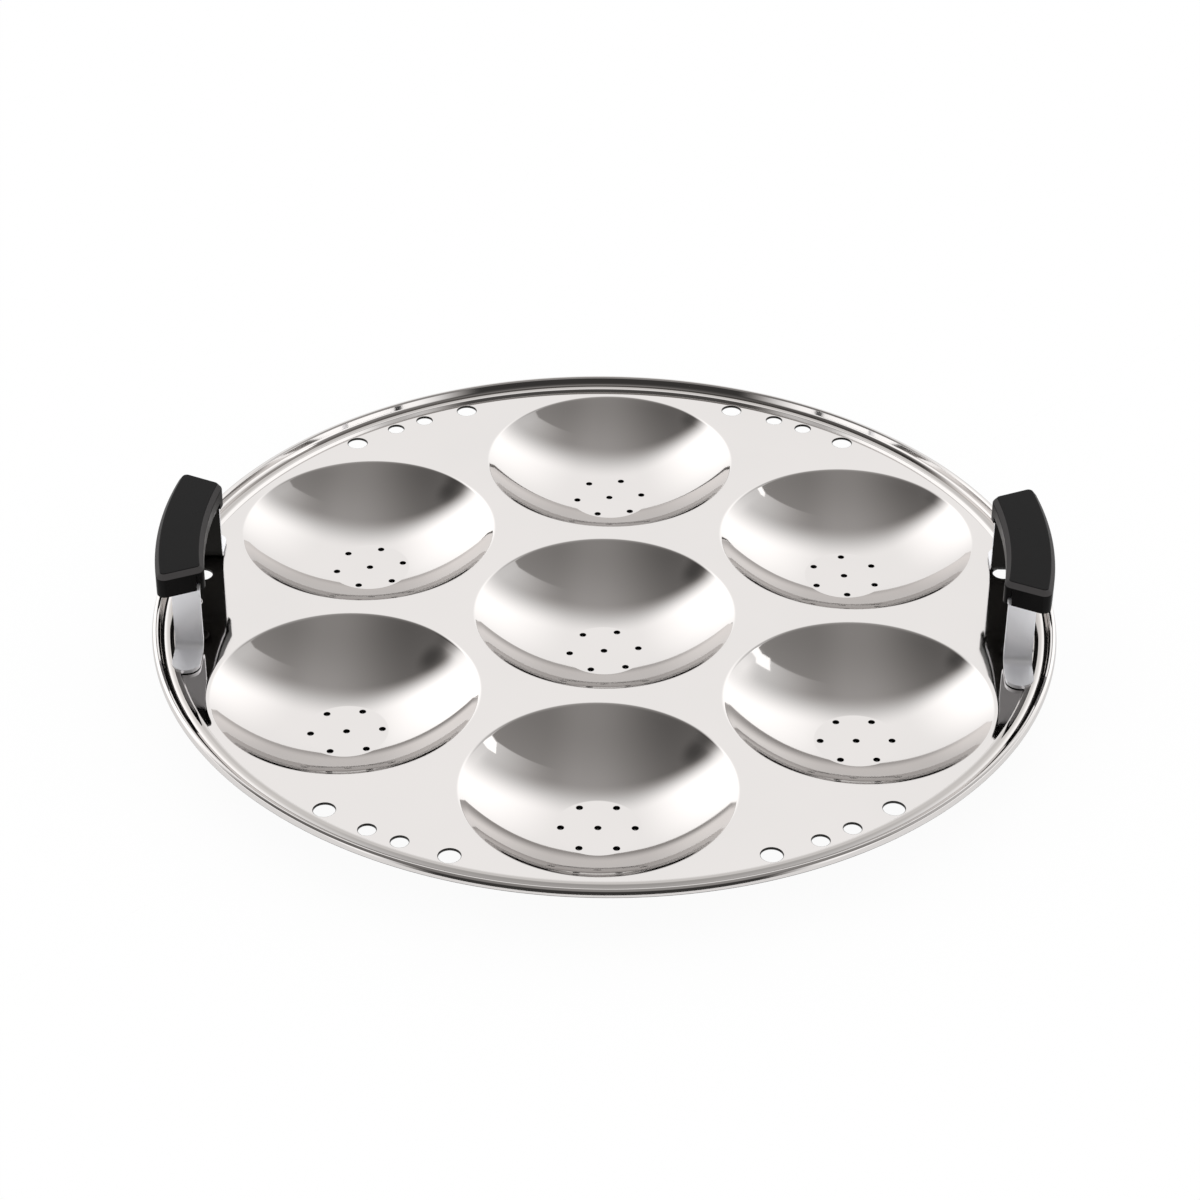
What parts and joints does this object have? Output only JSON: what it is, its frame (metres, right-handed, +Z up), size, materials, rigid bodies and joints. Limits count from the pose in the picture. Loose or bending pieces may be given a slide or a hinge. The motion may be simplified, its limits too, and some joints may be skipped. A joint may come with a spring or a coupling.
{
  "type": "idli steamer plate",
  "caption": "Round mirror-polished steel plate with shallow perforated cups, steam holes, a rolled rim and a raised black bridge handle at each side, for steaming idli.",
  "frame": {"origin": "centre of the plate, level with the undersides of the cup floors it rests on", "axes": "+Z up, square to the flat sheet; the two handles stand at +X and -X"},
  "size_m": [0.28, 0.28, 0.046],
  "materials": {
    "polished_steel": "mirror polished stainless steel",
    "satin_phenolic": "black phenolic, satin",
    "plated_steel": "zinc plated, satin",
    "brass": "turned brass"
  },
  "bodies": {
    "root": {"idli_plate": "polished_steel", "left_handle_bracket": "polished_steel", "left_handle_grip": "satin_phenolic", "left_handle_screw_1": "plated_steel", "left_grip_insert_1": "brass", "left_handle_screw_2": "plated_steel", "left_grip_insert_2": "brass", "right_handle_bracket": "polished_steel", "right_handle_grip": "satin_phenolic", "right_handle_screw_1": "plated_steel", "right_grip_insert_1": "brass", "right_handle_screw_2": "plated_steel", "right_grip_insert_2": "brass"}
  },
  "joints": []
}
